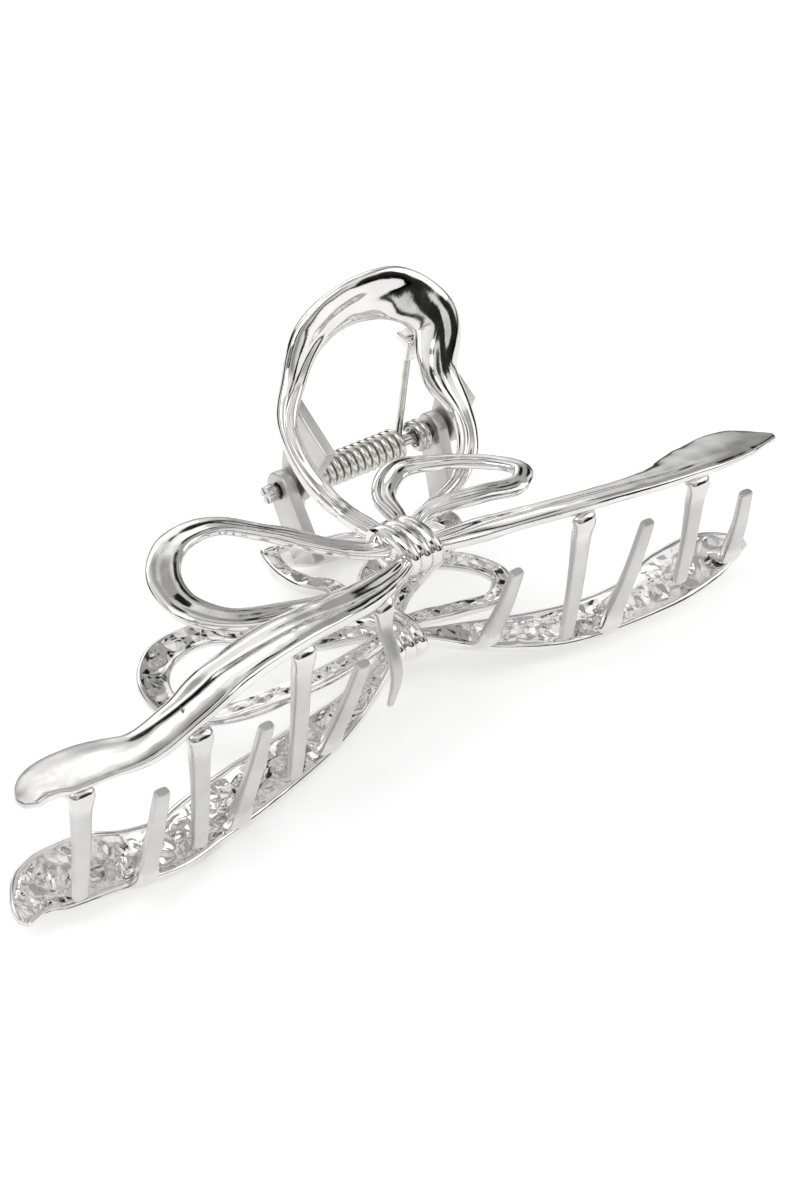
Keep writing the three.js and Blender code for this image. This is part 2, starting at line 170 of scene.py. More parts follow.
# Teeth: root on the band, and how far across its tip reaches, drawn for an upper jaw.
TEETH = {
    "upper": [
        (-58.8, -39.4, 9.4, -40.6, -7.4), (-43.2, -40.0, 11.1, -42.2, -5.6),
        (-25.2, -35.3, 11.6, -36.9, -8.4), (-9.9, -31.4, 8.5, -35.6, -5.0),
        (20.8, -32.8, 10.9, -34.1, -9.2), (39.0, -34.4, 10.5, -35.4, -6.6),
    ],
    "lower": [
        (-49.6, -40.7, 9.6, -42.3, -7.2), (-33.5, -37.0, 12.0, -40.2, -7.8),
        (-17.6, -33.7, 10.3, -37.8, -8.0), (10.9, -29.9, 8.8, -32.6, -5.8),
        (28.6, -34.1, 11.1, -36.6, -9.6), (50.4, -33.4, 9.0, -33.4, -2.8),
    ],
}
TOOTH_SIDES = 16
TOOTH_RINGS = 32
ROOT_SINK = 0.45
SHOULDER_DROP = 0.15
NECK_SHARE = 0.16
MIDDLE_SHARE = 0.55
TOOTH_BOW = 0.25
TOOTH_CORNER = 0.62
ROUND_ROOT = 0.36
ROUND_ROOT_SHARE = 0.34
SATIN_STARTS = 0.42
SATIN_FADE = 0.12
TOOTH_END_RIM = 0.22
# Width and depth of a tooth at its root, shoulder, neck, middle and tip.
TOOTH_SIZES = [(4.6, 0.7), (3.6, 1.8), (2.7, 1.9), (2.35, 1.55), (2.0, 1.4)]
CLAW_TOOTH = 4
CLAW_BOW = 2.0
CLAW_TAPER = (1.0, 0.9, 0.8, 0.7, 0.45)

# Hinge lugs: side, start along the pin, corners where it grows from the handle.
LUGS = {
    "upper_left_lug": (-0.4, (3.4, 13.2), (-6.2, 9.6)),
    "upper_right_lug": (24.6, (1.8, 9.6), (-4.2, 7.4)),
    "lower_left_lug": (-2.6, (-5.2, 9.0), (-9.6, 5.4)),
    "lower_right_lug": (22.5, (-2.6, 11.0), (-7.4, 8.4)),
}
LUG_THICKNESS = 1.7
LUG_BOSS_RADIUS = 2.5
LUG_HOLE_RADIUS = 1.1
LUG_BEVEL = 0.28
BOSS_STEPS = 24
HOLE_SIDES = 48
SMOOTH_ANGLE = math.radians(40)

# Pin, spring and spacer.
PIN_RADIUS = 0.8
PIN_ENDS = (-4.5, 27.8)
PIN_HEAD_RADIUS = 1.2
PIN_HEAD_LENGTH = 1.2
PIN_SIDES = 40
PIN_BEVEL = 0.12
SHAFT_SHORTER = 0.5
SLOT_TURN = 0.6
SLOT_SIZE = (0.6, 4.0, 0.45)
COIL_START = 3.4
COIL_TURNS = 12
COIL_PITCH = 1.17
COIL_RADIUS = 1.8
WIRE_RADIUS = 0.52
WIRE_SIDES = 12
COIL_STEPS = 24
LEG_X = {"upper": 18.74, "lower": 3.4}
LEG_TIP = {"upper": (2.4, 14.2), "lower": (2.0, 11.4)}
LEG_STEPS = {"upper": 14, "lower": 12}
LEG_ROOT_HEIGHT = -1.2
LEG_FOOT_ASIDE = 0.5
LEG_FOOT_INWARD = 0.9
LEG_BEND_HEIGHT = 0.4
SPACER_START = 19.84
SPACER_TURNS = 2
SPACER_PITCH = 0.95
CATCH_WIDTH = 2.8
CATCH_FRONT = 1.6
CATCH_LENGTH = 3.0
CATCH_BELOW = 0.9
CATCH_ABOVE = 2.4
CATCH_ROOF = 1.4
CATCH_WALL = 1.0
CATCH_BEVEL = 0.35

# Knot: three tilted turns over the waist.
KNOT_CENTRE = Vector((-0.4, -23.4, 8.0))
KNOT_TURNS = (-1.8, 0.0, 1.8)
KNOT_TURN_RADIUS = 2.1
KNOT_TURN_STRETCH = (0.95, 1.4, 1.0)
KNOT_CORD_RADIUS = 1.1
KNOT_TILT = math.radians(12)
KNOT_CORE_RADIUS = 2.3
KNOT_VOXEL = 0.16

# Floor, studio and camera.
FLOOR_RADIUS = 1.6
FLOOR_GLOW = 0.3
WORLD_STRENGTH = 1.05
SKY_STOPS = ((0.015, 0.04), (0.07, 0.05), (0.13, 0.8), (0.4, 0.75), (0.7, 1.0))
WALL_SHADE = 0.4
CARD_SHADE = 0.03
CARD_EDGE = 3
# Black cards round the studio: the way each one lies, and how many degrees it reaches.
DARK_CARDS = [
    ((0.5, -0.85, 0.12), 15), ((0.8, 0.35, 0.45), 7), ((-0.6, 0.75, 0.3), 9), ((0.95, -0.1, 0.2), 8),
    ((0.25, 0.95, 0.12), 7), ((-0.85, -0.3, 0.5), 10), ((-0.5, -0.69, 0.52), 8), ((0.1, 0.1, 1.0), 7),
    ((0.5, 0.3, 0.8), 5), ((0.55, -0.4, 0.71), 9), ((-0.5, 0.85, 0.15), 12), ((0.9, 0.5, 0.12), 8),
]
AZIMUTH = math.radians(-43.5)
ELEVATION = math.radians(42.8)
ROLL = math.radians(9.5)
DISTANCE = 395.0
LENS = 90.0
SENSOR = 36.0
HINGE_ASIDE = (-14.02, 15.21)


# ---------------------------------------------------------------- materials
SATIN_SHADE = 0.84
# A Mix node gives its number and colour sockets the same names, so the colour ones go by number.
MIX_A = 6
MIX_B = 7
MIX_RESULT = 2


def material(name, metallic=1.0):
    mat = bpy.data.materials.new(name)
    mat.use_nodes = True
    nodes, links = mat.node_tree.nodes, mat.node_tree.links
    shader = nodes["Principled BSDF"]
    shader.inputs["Metallic"].default_value = metallic
    place = nodes.new("ShaderNodeTexCoord")
    return nodes, links, shader, place.outputs["Object"], mat


def noise(nodes, links, where, scale, detail=2.0):
    tex = nodes.new("ShaderNodeTexNoise")
    tex.inputs["Scale"].default_value = scale
    tex.inputs["Detail"].default_value = detail
    links.new(where, tex.inputs["Vector"])
    return tex.outputs["Fac"]


def span(nodes, links, value, low, high):
    fit = nodes.new("ShaderNodeMapRange")
    fit.inputs["To Min"].default_value = low
    fit.inputs["To Max"].default_value = high
    fit.inputs["From Min"].default_value = 0.3
    fit.inputs["From Max"].default_value = 0.7
    links.new(value, fit.inputs["Value"])
    return fit.outputs["Result"]


def tint(nodes, links, value, dark, light):
    ramp = nodes.new("ShaderNodeValToRGB")
    ramp.color_ramp.elements[0].position = 0.3
    ramp.color_ramp.elements[0].color = (*dark, 1)
    ramp.color_ramp.elements[1].position = 0.7
    ramp.color_ramp.elements[1].color = (*light, 1)
    links.new(value, ramp.inputs["Fac"])
    return ramp.outputs["Color"]


def mix(nodes, links, factor, a, b):
    node = nodes.new("ShaderNodeMix")
    links.new(factor, node.inputs["Factor"])
    links.new(a, node.inputs["A"])
    links.new(b, node.inputs["B"])
    return node.outputs["Result"]


def mix_colours(nodes, links, a, b, blend):
    node = nodes.new("ShaderNodeMix")
    node.data_type = "RGBA"
    node.blend_type = blend
    node.inputs["Factor"].default_value = 1.0
    links.new(a, node.inputs[MIX_A])
    links.new(b, node.inputs[MIX_B])
    return node


def bump(nodes, links, height, distance, strength, before=None):
    node = nodes.new("ShaderNodeBump")
    node.inputs["Distance"].default_value = distance
    node.inputs["Strength"].default_value = strength
    links.new(height, node.inputs["Height"])
    if before is not None:
        links.new(before, node.inputs["Normal"])
    return node.outputs["Normal"]


def plating(name, dark, light, polished, brushed):
    """Plated casting: polished where its satin attribute is 0 and softly brushed where it is 1."""
    nodes, links, shader, where, mat = material(name)
    cloudy = noise(nodes, links, where, 140)
    satin = nodes.new("ShaderNodeAttribute")
    satin.attribute_name = "satin"
    greyer = [tuple(SATIN_SHADE * value for value in shade) for shade in (dark, light)]
    colour = mix_colours(nodes, links, tint(nodes, links, cloudy, dark, light),
                         tint(nodes, links, cloudy, *greyer), "MIX")
    links.new(satin.outputs["Fac"], colour.inputs["Factor"])
    links.new(colour.outputs[MIX_RESULT], shader.inputs["Base Color"])
    fine = noise(nodes, links, where, 900, 4)
    rough = mix(nodes, links, satin.outputs["Fac"],
                span(nodes, links, fine, *polished), span(nodes, links, fine, *brushed))
    links.new(rough, shader.inputs["Roughness"])
    ripples = bump(nodes, links, noise(nodes, links, where, 230, 1), 0.0005, 0.4)
    cells = nodes.new("ShaderNodeTexVoronoi")
    cells.feature = "DISTANCE_TO_EDGE"
    cells.inputs["Scale"].default_value = 400
    links.new(where, cells.inputs["Vector"])
    hammered = nodes.new("ShaderNodeAttribute")
    hammered.attribute_name = "hammered"
    dents = nodes.new("ShaderNodeMath")
    dents.operation = "MULTIPLY"
    links.new(cells.outputs["Distance"], dents.inputs[0])
    links.new(hammered.outputs["Fac"], dents.inputs[1])
    beaten = bump(nodes, links, dents.outputs["Value"], 0.0006, 0.35, ripples)
    grain = bump(nodes, links, noise(nodes, links, where, 2600, 3), 0.00002, 0.35, beaten)
    links.new(grain, shader.inputs["Normal"])
    return mat


def steel(name, dark, light, roughness):
    nodes, links, shader, where, mat = material(name)
    patches = noise(nodes, links, where, 700, 3)
    links.new(tint(nodes, links, patches, dark, light), shader.inputs["Base Color"])
    links.new(span(nodes, links, noise(nodes, links, where, 1500, 4), *roughness), shader.inputs["Roughness"])
    drawn = bump(nodes, links, noise(nodes, links, where, 3200, 2), 0.00003, 0.4)
    links.new(drawn, shader.inputs["Normal"])
    return mat


BRIGHT = plating("bright_plating", (0.72, 0.715, 0.705), (0.88, 0.875, 0.86), (0.04, 0.11), (0.26, 0.36))
SATIN = plating("satin_plating", (0.68, 0.675, 0.67), (0.80, 0.795, 0.785), (0.08, 0.16), (0.34, 0.46))
SPRING = steel("spring_wire", (0.62, 0.61, 0.57), (0.82, 0.81, 0.77), (0.10, 0.22))
PIN = steel("pin_steel", (0.52, 0.51, 0.49), (0.74, 0.73, 0.71), (0.12, 0.26))


# ---------------------------------------------------------------- making
MOST_CUTS = 100
SWELL = bpy.data.textures.new("swell", "CLOUDS")
SWELL.noise_scale = SWELL_SIZE
SWELL.noise_depth = 1
HAMMER = bpy.data.textures.new("hammer", "VORONOI")
HAMMER.noise_scale = HAMMER_CELL
HAMMER.weight_1 = -1
HAMMER.weight_2 = 1


def activate(obj):
    bpy.ops.object.select_all(action="DESELECT")
    obj.select_set(True)
    bpy.context.view_layer.objects.active = obj


def apply_modifier(obj, kind, **settings):
    activate(obj)
    bpy.ops.object.modifier_add(type=kind)
    modifier = obj.modifiers[-1]
    for key, value in settings.items():
        setattr(modifier, key, value)
    bpy.ops.object.modifier_apply(modifier=modifier.name)


def recalculate(obj, doubles=0.0):
    activate(obj)
    bpy.ops.object.mode_set(mode="EDIT")
    bpy.ops.mesh.select_all(action="SELECT")
    if doubles:
        bpy.ops.mesh.remove_doubles(threshold=doubles)
    bpy.ops.mesh.normals_make_consistent(inside=False)
    bpy.ops.object.mode_set(mode="OBJECT")


def mark(obj, name, values):
    """Gives each vertex a number that the plating reads."""
    obj.data.attributes.new(name, "FLOAT", "POINT").data.foreach_set("value", values)


def crisp(obj):
    """Keeps the edges of a turned or cut piece sharp to the eye."""
    activate(obj)
    bpy.ops.object.shade_smooth_by_angle(angle=SMOOTH_ANGLE)


def finish(obj, node, body, metal, side="upper"):
    """Puts a piece drawn about the hinge into its place on the clip."""
    obj.name = obj.data.name = "look_" + node
    obj.data.transform(PLACE_CLIP @ MIRROR[side])
    recalculate(obj)
    bpy.ops.object.shade_smooth()
    obj.data.materials.clear()
    obj.data.materials.append(metal)
    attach(obj, body)
    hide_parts(node)
    return obj


def cut_rings(obj, longest, count):
    """Cuts each lengthwise edge longer than longest into count parts."""
    activate(obj)
    bpy.ops.object.mode_set(mode="EDIT")
    bpy.ops.mesh.select_all(action="DESELECT")
    bm = bmesh.from_edit_mesh(obj.data)
    for edge in bm.edges:
        edge.select_set(abs(edge.verts[0].co.z - edge.verts[1].co.z) > longest)
    bmesh.update_edit_mesh(obj.data)
    bpy.ops.mesh.subdivide(number_cuts=count - 1)
    bpy.ops.object.mode_set(mode="OBJECT")


def bar(name, sides, rings):
    """A straight round bar, cut into rings along its length, ready to be shaped."""
    bpy.ops.mesh.primitive_cylinder_add(vertices=sides, radius=1, depth=1, location=(0, 0, 0.5))
    obj = bpy.context.active_object
    obj.name = name
    bpy.ops.object.transform_apply(location=True, rotation=True, scale=True)
    cut_rings(obj, 0.5, rings)
    return obj


def long_bar(name, sides, rings):
    """A bar with more rings than one subdivision gives: cut in two goes."""
    divisors = [count for count in range(2, MOST_CUTS + 1) if rings % count == 0]
    first = next(count for count in divisors if rings // count <= MOST_CUTS)
    obj = bar(name, sides, first)
    cut_rings(obj, 0.5 / first, rings // first)
    return obj


def ring_places(obj, sides):
    """For each vertex of a bar: its number round the ring and its share of the length."""
    places = []
    for vert in obj.data.vertices:
        turn = math.atan2(vert.co.y, vert.co.x) / (2 * math.pi)
        places.append((round(turn * sides) % sides, vert.co.z))
    return places


def mix_rows(a, b, start, end, at):
    return ((end - at) * a + (at - start) * b) / (end - start)


def along(rows, share):
    """Values part-way along a smooth line through rows, whose first three columns are a point."""
    reach = min(max(share, 0.0), 1.0) * (len(rows) - 1)
    first = min(int(reach), len(rows) - 2)
    before = rows[first - 1] if first else 2 * rows[0] - rows[1]
    after = rows[first + 2] if first + 2 < len(rows) else 2 * rows[-1] - rows[-2]
    p = (before, rows[first], rows[first + 1], after)
    k = [0.0]
    for a, b in zip(p, p[1:]):
        k.append(k[-1] + max(np.linalg.norm(b[:3] - a[:3]), 1e-6) ** 0.5)
    t = k[1] + (reach - first) * (k[2] - k[1])
    legs = [mix_rows(p[i], p[i + 1], k[i], k[i + 1], t) for i in range(3)]
    arms = [mix_rows(legs[i], legs[i + 1], k[i], k[i + 2], t) for i in range(2)]
    return mix_rows(arms[0], arms[1], k[1], k[2], t)


def section_frame(rows, share):
    """Centre, half width across and half thickness outwards, at a share of the length."""
    row = along(rows, share)
    step = 0.25 / (len(rows) - 1) / RINGS_PER_STATION
    tangent = Vector(along(rows, share + step)[:3] - along(rows, share - step)[:3]).normalized()
    across = Vector(row[5:8]).cross(tangent).normalized()
    outward = tangent.cross(across).normalized()
    return Vector(row[:3]), across * row[3] / 2, outward * row[4] / 2


def squircle(turn, power_across, power_out):
    c, s = math.cos(turn), math.sin(turn)
    return math.copysign(abs(c) ** power_across, c), math.copysign(abs(s) ** power_out, s)


def relief_at(relief, share):
    columns = np.array(relief, float)
    return [float(np.interp(share, columns[:, 0], columns[:, i])) for i in range(1, 5)]


def ribbon(name, stations, relief):
    """A band with a folded outer face, rolled rims and a hollow, hammered back."""
    rows = np.array(stations, float)
    rings = (len(rows) - 1) * RINGS_PER_STATION
    obj = long_bar(name, RIBBON_SIDES, rings)
    places = ring_places(obj, RIBBON_SIDES)
    frames = {}
    hollow_group = obj.vertex_groups.new(name="hollow")
    satin = [0.0] * len(places)
    hammered = [0.0] * len(places)
    for vert, (number, share) in zip(obj.data.vertices, places):
        ring = round(share * rings)
        if ring not in frames:
            frames[ring] = (section_frame(rows, ring / rings), relief_at(relief, ring / rings))
        (centre, across, outward), (fold, depth, hollow, soft) = frames[ring]
        a, b = squircle(2 * math.pi * number / RIBBON_SIDES, *RIBBON_CORNERS)
        if b > 0:
            b *= 1 - depth * math.exp(-((a - fold) / FOLD_WIDTH) ** 2)
            satin[vert.index] = soft
        else:
            b *= 1 - hollow * max(0.0, 1 - abs(a / HOLLOW_REACH) ** 4)
            if abs(a) < HAMMER_REACH and 0 < ring < rings:
                fade = min(1, 4 * hollow, (rings - ring) / FADE_RINGS)
                hammered[vert.index] = (1 - abs(a / HAMMER_REACH) ** 3) * fade
                hollow_group.add([vert.index], hammered[vert.index], "REPLACE")
        vert.co = centre + across * a + outward * b
    mark(obj, "satin", satin)
    mark(obj, "hammered", hammered)
    apply_modifier(obj, "DISPLACE", texture=SWELL, texture_coords="LOCAL",
                   mid_level=0.5, strength=SWELL_DEPTH)
    apply_modifier(obj, "SUBSURF", levels=1)
    apply_modifier(obj, "DISPLACE", texture=HAMMER, texture_coords="LOCAL", vertex_group="hollow",
                   mid_level=0, strength=HAMMER_DEPTH)
    return obj


def tooth(name, root, band, bow):
    """A tapered bar that grows out of its band with a rounded shoulder and ends flat."""
    x, y, z, tip_y, tip_z = root
    band_rows = np.array(band, float)
    place = min((i / 200 for i in range(201)), key=lambda share: abs(along(band_rows, share)[0] - x))
    centre, across, outward = section_frame(band_rows, place)
    start = centre - outward.normalized() * ROOT_SINK
    tip = Vector((x, tip_y, tip_z))
    shoulder = Vector((x, y, z - SHOULDER_DROP))
    neck = shoulder.lerp(tip, NECK_SHARE)
    middle = shoulder.lerp(tip, MIDDLE_SHARE) + Vector((0, -bow, 0))
    points = [start, shoulder, neck, middle, tip]
    tapers = CLAW_TAPER if bow == CLAW_BOW else (1.0,) * len(points)
    rows = []
    for point, (width, depth), taper in zip(points, TOOTH_SIZES, tapers):
        rows.append((*point, width * taper, depth * taper, 0, -1, 0.05))
    rows = np.array(rows, float)
    obj = bar(name, TOOTH_SIDES, TOOTH_RINGS)
    places = ring_places(obj, TOOTH_SIDES)
    satin = [min(1.0, max(0.0, (share - SATIN_STARTS) / SATIN_FADE)) for number, share in places]
    for vert, (number, share) in zip(obj.data.vertices, places):
        centre, across, outward = section_frame(rows, share)
        power = TOOTH_CORNER + ROUND_ROOT * max(0.0, 1 - share / ROUND_ROOT_SHARE)
        a, b = squircle(2 * math.pi * number / TOOTH_SIDES, power, power)
        vert.co = centre + across * a + outward * b
    mark(obj, "satin", satin)
    soften_ends(obj, TOOTH_END_RIM)
    apply_modifier(obj, "SUBSURF", levels=1)
    return obj


def soften_ends(obj, width):
    """Rounds the rim of each flat end."""
    activate(obj)
    bpy.ops.object.mode_set(mode="EDIT")
    bpy.ops.mesh.select_all(action="DESELECT")
    bm = bmesh.from_edit_mesh(obj.data)
    for face in bm.faces:
        face.select_set(len(face.verts) > 4)
    bmesh.update_edit_mesh(obj.data)
    bpy.ops.mesh.inset(thickness=width, depth=0)
    bpy.ops.mesh.inset(thickness=width / 2, depth=0)
    bpy.ops.object.mode_set(mode="OBJECT")


def plate(name, outline, x, thickness):
    """A flat plate; its outline is drawn in Y and Z."""
    bpy.ops.mesh.primitive_circle_add(vertices=len(outline), radius=1, fill_type="NGON")
    obj = bpy.context.active_object
    obj.name = name
    for vert, (y, z) in zip(obj.data.vertices, outline):
        vert.co = (x, y, z)
    bpy.ops.object.mode_set(mode="EDIT")
    bpy.ops.mesh.select_all(action="SELECT")
    bpy.ops.mesh.extrude_region()
    bpy.ops.transform.translate(value=(thickness, 0, 0))
    bpy.ops.object.mode_set(mode="OBJECT")
    recalculate(obj)
    return obj


def lug(name, x, first_corner, last_corner):
    """A hinge lug: a round boss on the pin, drilled, running out to the handle."""
    middle = (Vector(first_corner) + Vector(last_corner)) / 2
    heading = math.atan2(middle.y, middle.x)
    outline = []
    for step in range(BOSS_STEPS + 1):
        turn = heading + math.pi / 2 + math.pi * step / BOSS_STEPS
        outline.append((LUG_BOSS_RADIUS * math.cos(turn), LUG_BOSS_RADIUS * math.sin(turn)))
    outline += [first_corner, last_corner]
    obj = plate(name, outline, x, LUG_THICKNESS)
    bpy.ops.mesh.primitive_cylinder_add(vertices=HOLE_SIDES, radius=LUG_HOLE_RADIUS, depth=4 * LUG_THICKNESS,
                                        location=(x, 0, 0), rotation=(0, math.pi / 2, 0))
    drill = bpy.context.active_object
    apply_modifier(obj, "BOOLEAN", object=drill, operation="DIFFERENCE", solver="EXACT")
    bpy.data.objects.remove(drill)
    apply_modifier(obj, "BEVEL", width=LUG_BEVEL, segments=3, limit_method="ANGLE")
    mark(obj, "satin", [1.0] * len(obj.data.vertices))
    return obj


def wire(name, points, radius):
    """Round wire along a list of points, with softened ends."""
    rings = len(points) - 1
    obj = long_bar(name, WIRE_SIDES, rings)
    across = Vector((1, 0, 0))
    frames = []
    for index, point in enumerate(points):
        ahead = points[min(index + 1, rings)]
        behind = points[max(index - 1, 0)]
        tangent = (ahead - behind).normalized()
        across = (across - tangent * across.dot(tangent)).normalized()
        frames.append((point, across.copy(), tangent.cross(across)))
    for vert, (number, share) in zip(obj.data.vertices, ring_places(obj, WIRE_SIDES)):
        centre, side, up = frames[round(share * rings)]
        turn = 2 * math.pi * number / WIRE_SIDES
        vert.co = centre + (side * math.cos(turn) + up * math.sin(turn)) * radius
    soften_ends(obj, radius * 0.3)
    apply_modifier(obj, "SUBSURF", levels=1)
    return obj


def helix(start, turns, pitch):
    points = []
    for step in range(turns * COIL_STEPS + 1):
        turn = step / COIL_STEPS
        angle = turn * 2 * math.pi
        y = COIL_RADIUS * math.cos(angle)
        z = COIL_RADIUS * math.sin(angle)
        points.append(Vector((start + turn * pitch, y, z)))
    return points


def leg(foot, tip, steps):
    return [foot.lerp(tip, step / steps) for step in range(steps + 1)]


def knot(name):
    """Three tilted turns of cord drawn tight over the waist and run together as one casting."""
    parts = []
    for offset in KNOT_TURNS:
        centre = KNOT_CENTRE + Vector((offset, 0, 0))
        bpy.ops.mesh.primitive_torus_add(location=centre, rotation=(0, math.pi / 2, KNOT_TILT),
                                         major_radius=KNOT_TURN_RADIUS, minor_radius=KNOT_CORD_RADIUS,
                                         major_segments=48, minor_segments=20)
        bpy.context.active_object.scale = KNOT_TURN_STRETCH
        parts.append(bpy.context.active_object)
    bpy.ops.mesh.primitive_uv_sphere_add(location=KNOT_CENTRE, radius=KNOT_CORE_RADIUS, segments=32, ring_count=16)
    parts.append(bpy.context.active_object)
    bpy.ops.object.select_all(action="DESELECT")
    for piece in parts:
        piece.select_set(True)
    bpy.context.view_layer.objects.active = parts[0]
    bpy.ops.object.join()
    bpy.ops.object.transform_apply(location=True, rotation=True, scale=True)
    obj = bpy.context.active_object
    obj.name = name
    apply_modifier(obj, "REMESH", mode="VOXEL", voxel_size=KNOT_VOXEL)
    apply_modifier(obj, "SMOOTH", factor=0.5, iterations=4)
    mark(obj, "satin", [0.0] * len(obj.data.vertices))
    return obj


def hinge_pin(name):
    """The pin: a shaft with a turned head at each end and a cross cut in each face."""
    left, right = PIN_ENDS
    middle = (left + right) / 2
    shaft_length = right - left - SHAFT_SHORTER
    bpy.ops.mesh.primitive_cylinder_add(vertices=PIN_SIDES, radius=PIN_RADIUS, depth=shaft_length,
                                        location=(middle, 0, 0), rotation=(0, math.pi / 2, 0))
    parts = [bpy.context.active_object]
    for end, inward in ((left, 1), (right, -1)):
        centre = end + inward * PIN_HEAD_LENGTH / 2
        bpy.ops.mesh.primitive_cylinder_add(vertices=PIN_SIDES, radius=PIN_HEAD_RADIUS, depth=PIN_HEAD_LENGTH,
                                            location=(centre, 0, 0), rotation=(0, math.pi / 2, 0))
        head = bpy.context.active_object
        for turn in (SLOT_TURN, SLOT_TURN + math.pi / 2):
            bpy.ops.mesh.primitive_cube_add(size=1, location=(end, 0, 0), rotation=(turn, 0, 0),
                                            scale=SLOT_SIZE)
            slot_cutter = bpy.context.active_object
            apply_modifier(head, "BOOLEAN", object=slot_cutter, operation="DIFFERENCE", solver="EXACT")
            bpy.data.objects.remove(slot_cutter)
        parts.append(head)
    for head in parts[1:]:
        apply_modifier(parts[0], "BOOLEAN", object=head, operation="UNION", solver="EXACT")
        bpy.data.objects.remove(head)
    obj = parts[0]
    activate(obj)
    bpy.ops.object.transform_apply(location=True, rotation=True, scale=True)
    apply_modifier(obj, "BEVEL", width=PIN_BEVEL, segments=3, limit_method="ANGLE")
    obj.name = name
    return obj


def spring_catch(name, x, tip):
    """The hook cast under the arch that holds the end of a spring leg."""
    leg_y, leg_z = tip
    front = leg_y - CATCH_FRONT
    back = front + CATCH_LENGTH
    inside = front + CATCH_WALL
    bottom = leg_z - CATCH_BELOW
    top = leg_z + CATCH_ABOVE
    roof = top - CATCH_ROOF
    outline = [(front, bottom), (front, top), (back, top), (back, roof), (inside, roof), (inside, bottom)]
    obj = plate(name, outline, x - CATCH_WIDTH / 2, CATCH_WIDTH)
    apply_modifier(obj, "BEVEL", width=CATCH_BEVEL, segments=4, limit_method="ANGLE")
    mark(obj, "satin", [0.0] * len(obj.data.vertices))
    return obj


def softbox(name, place, size, power):
    light = bpy.data.lights.new(name, "AREA")
    light.shape = "RECTANGLE"
    light.size, light.size_y = size
    light.energy = power
    obj = bpy.data.objects.new(name, light)
    bpy.context.scene.collection.objects.link(obj)
    obj.location = place
    obj.rotation_euler = Vector(place).to_track_quat("Z", "Y").to_euler()


# ---------------------------------------------------------------- the clip
for side in ("upper", "lower"):
    for piece, (stations, relief) in RIBBONS.items():
        node = f"{side}_{piece}"
        finish(ribbon(node, stations, relief), node, BODY[side], BRIGHT, side)
    for index, root in enumerate(TEETH[side]):
        node = f"{side}_tooth_{index + 1}"
        band = LEFT_TAIL if root[0] < 0 else RIGHT_TAIL
        bow = CLAW_BOW if side == "upper" and index + 1 == CLAW_TOOTH else TOOTH_BOW
        finish(tooth(node, root, band, bow), node, BODY[side], SATIN, side)
    node = f"{side}_knot"
    finish(knot(node), node, BODY[side], BRIGHT, side)
    node = f"{side}_spring_catch"
    finish(spring_catch(node, LEG_X[side], LEG_TIP[side]), node, BODY[side], BRIGHT, side)

for node, (x, first_corner, last_corner) in LUGS.items():
    side = node.split("_")[0]
    crisp(finish(lug(node, x, first_corner, last_corner), node, BODY[side], SATIN, side))

lower_tip = Vector((LEG_X["lower"], LEG_TIP["lower"][0], -LEG_TIP["lower"][1]))
lower_root = Vector((LEG_X["lower"], COIL_RADIUS, LEG_ROOT_HEIGHT))
coil = leg(lower_tip, lower_root, LEG_STEPS["lower"]) + helix(COIL_START, COIL_TURNS, COIL_PITCH)
finish(wire("coil", coil, WIRE_RADIUS), "torsion_spring", "lower_jaw", SPRING)
upper_foot = Vector((LEG_X["upper"] - LEG_FOOT_ASIDE, COIL_RADIUS - LEG_FOOT_INWARD, LEG_ROOT_HEIGHT))
upper_turn = Vector((LEG_X["upper"], COIL_RADIUS, LEG_BEND_HEIGHT))
upper_tip = Vector((LEG_X["upper"], *LEG_TIP["upper"]))
upper_leg = [upper_foot, upper_foot.lerp(upper_turn, 0.5)] + leg(upper_turn, upper_tip, LEG_STEPS["upper"])
finish(wire("leg", upper_leg, WIRE_RADIUS), "spring_upper_leg", "upper_jaw", SPRING)
spacer = helix(SPACER_START, SPACER_TURNS, SPACER_PITCH)
finish(wire("spacer", spacer, WIRE_RADIUS), "spacer_coil", "lower_jaw", PIN)
crisp(finish(hinge_pin("pin"), "hinge_pin", "lower_jaw", PIN))

# ---------------------------------------------------------------- floor, light and camera
floor_height = min(0.0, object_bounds()[0][2])
bpy.ops.mesh.primitive_circle_add(vertices=96, radius=FLOOR_RADIUS, fill_type="NGON",
                                  location=(0, 0, floor_height))
floor = bpy.context.active_object
floor.name = "floor"
nodes, links, shader, where, floor_material = material("pale_floor", 0.0)
links.new(tint(nodes, links, noise(nodes, links, where, 3), (0.93, 0.93, 0.93), (0.95, 0.95, 0.95)),
          shader.inputs["Base Color"])
shader.inputs["Roughness"].default_value = 0.9
shader.inputs["Specular IOR Level"].default_value = 0.0
shader.inputs["Emission Color"].default_value = (1, 1, 1, 1)
shader.inputs["Emission Strength"].default_value = FLOOR_GLOW
floor.data.materials.append(floor_material)

world = bpy.data.worlds.new("studio")
bpy.context.scene.world = world
world.use_nodes = True
sky, sky_links = world.node_tree.nodes, world.node_tree.links
direction = sky.new("ShaderNodeTexCoord")
split = sky.new("ShaderNodeSeparateXYZ")
sky_links.new(direction.outputs["Generated"], split.inputs["Vector"])
height = sky.new("ShaderNodeValToRGB")
height.color_ramp.elements[0].position = 0.0
height.color_ramp.elements[0].color = (0.5, 0.5, 0.5, 1)
height.color_ramp.elements[1].position = 1.0
height.color_ramp.elements[1].color = (1, 1, 1, 1)
for position, value in SKY_STOPS:
    stop = height.color_ramp.elements.new(position)
    stop.color = (value, value, value, 1)
sky_links.new(split.outputs["Z"], height.inputs["Fac"])
drift = sky.new("ShaderNodeTexNoise")
drift.inputs["Scale"].default_value = 1.9
drift.inputs["Detail"].default_value = 0.5
sky_links.new(direction.outputs["Generated"], drift.inputs["Vector"])
wall = sky.new("ShaderNodeMapRange")
wall.inputs["From Min"].default_value = 0.38
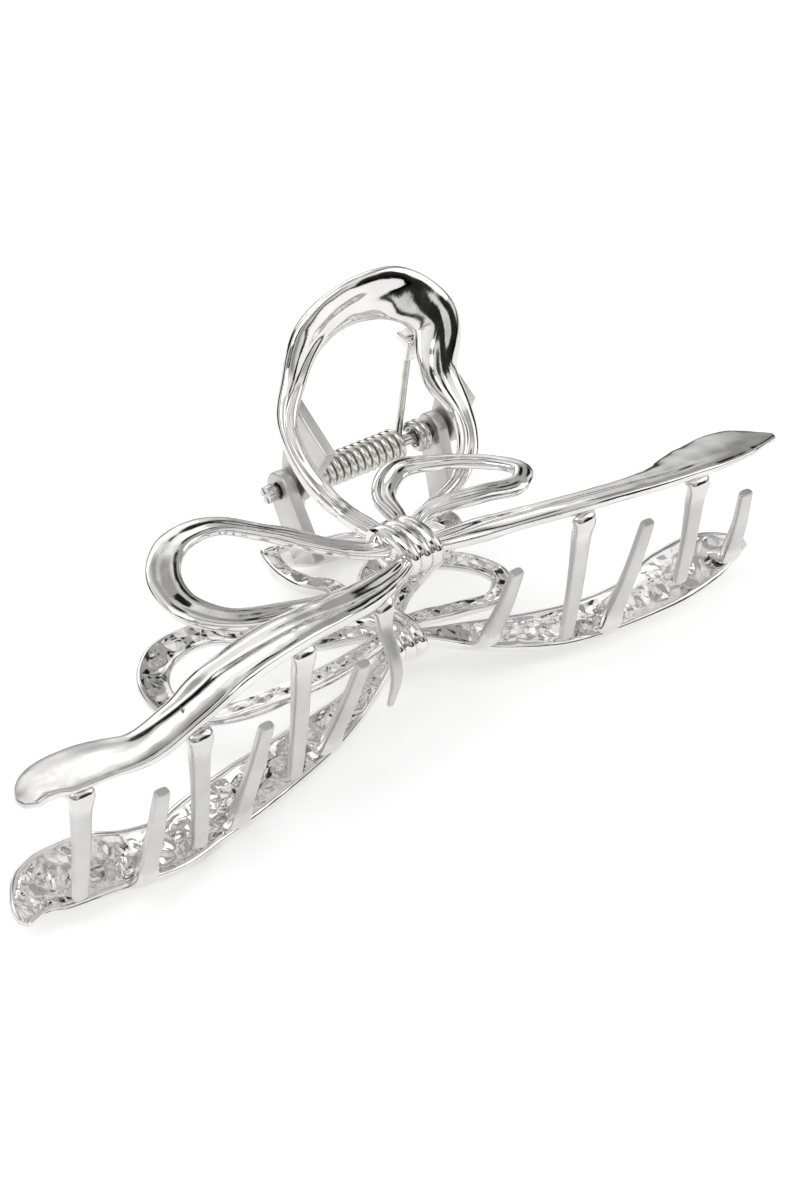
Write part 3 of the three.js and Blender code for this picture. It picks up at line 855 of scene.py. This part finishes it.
wall.inputs["From Max"].default_value = 0.58
wall.inputs["To Min"].default_value = WALL_SHADE
wall.inputs["To Max"].default_value = 1.0
sky_links.new(drift.outputs["Fac"], wall.inputs["Value"])
shade = mix_colours(sky, sky_links, height.outputs["Color"], wall.outputs["Result"], "MULTIPLY")
for toward, reach in DARK_CARDS:
    facing = sky.new("ShaderNodeVectorMath")
    facing.operation = "DOT_PRODUCT"
    facing.inputs[1].default_value = Vector(toward).normalized()
    sky_links.new(direction.outputs["Generated"], facing.inputs[0])
    edge = sky.new("ShaderNodeMapRange")
    edge.inputs["From Min"].default_value = math.cos(math.radians(reach))
    edge.inputs["From Max"].default_value = math.cos(math.radians(reach + CARD_EDGE))
    edge.inputs["To Min"].default_value = CARD_SHADE
    edge.inputs["To Max"].default_value = 1.0
    sky_links.new(facing.outputs["Value"], edge.inputs["Value"])
    shade = mix_colours(sky, sky_links, shade.outputs[MIX_RESULT], edge.outputs["Result"], "MULTIPLY")
background = sky["Background"]
background.inputs["Strength"].default_value = WORLD_STRENGTH
sky_links.new(shade.outputs[MIX_RESULT], background.inputs["Color"])


softbox("key_softbox", (-0.45, -0.25, 0.75), (0.7, 0.5), 1.6)
softbox("fill_softbox", (0.6, -0.4, 0.5), (0.5, 0.5), 0.8)
softbox("back_softbox", (0.1, 0.8, 0.6), (0.9, 0.3), 0.8)

# Camera: turned about the hinge centre, then rolled.
level_reach = math.cos(ELEVATION)
back = Vector((math.sin(AZIMUTH) * level_reach, -math.cos(AZIMUTH) * level_reach, math.sin(ELEVATION)))
level = back.cross(Vector((0, 0, -1))).normalized()
rise = level.cross(-back)
right = level * math.cos(ROLL) + rise * math.sin(ROLL)
up = rise * math.cos(ROLL) - level * math.sin(ROLL)
eye = back * DISTANCE - right * HINGE_ASIDE[0] - up * HINGE_ASIDE[1]
lens = bpy.data.cameras.new("camera")
lens.lens = LENS
lens.sensor_width = SENSOR
lens.clip_start = 0.01
lens.clip_end = 10
camera = bpy.data.objects.new("camera", lens)
bpy.context.scene.collection.objects.link(camera)
aim = Matrix((right, up, back)).transposed().to_4x4()
tilt = Matrix.Rotation(REST_TILT, 4, "X")
camera.matrix_world = Matrix.Translation(PLACE_CLIP @ eye) @ tilt @ aim
bpy.context.scene.camera = camera
bpy.context.scene.view_settings.view_transform = "Standard"
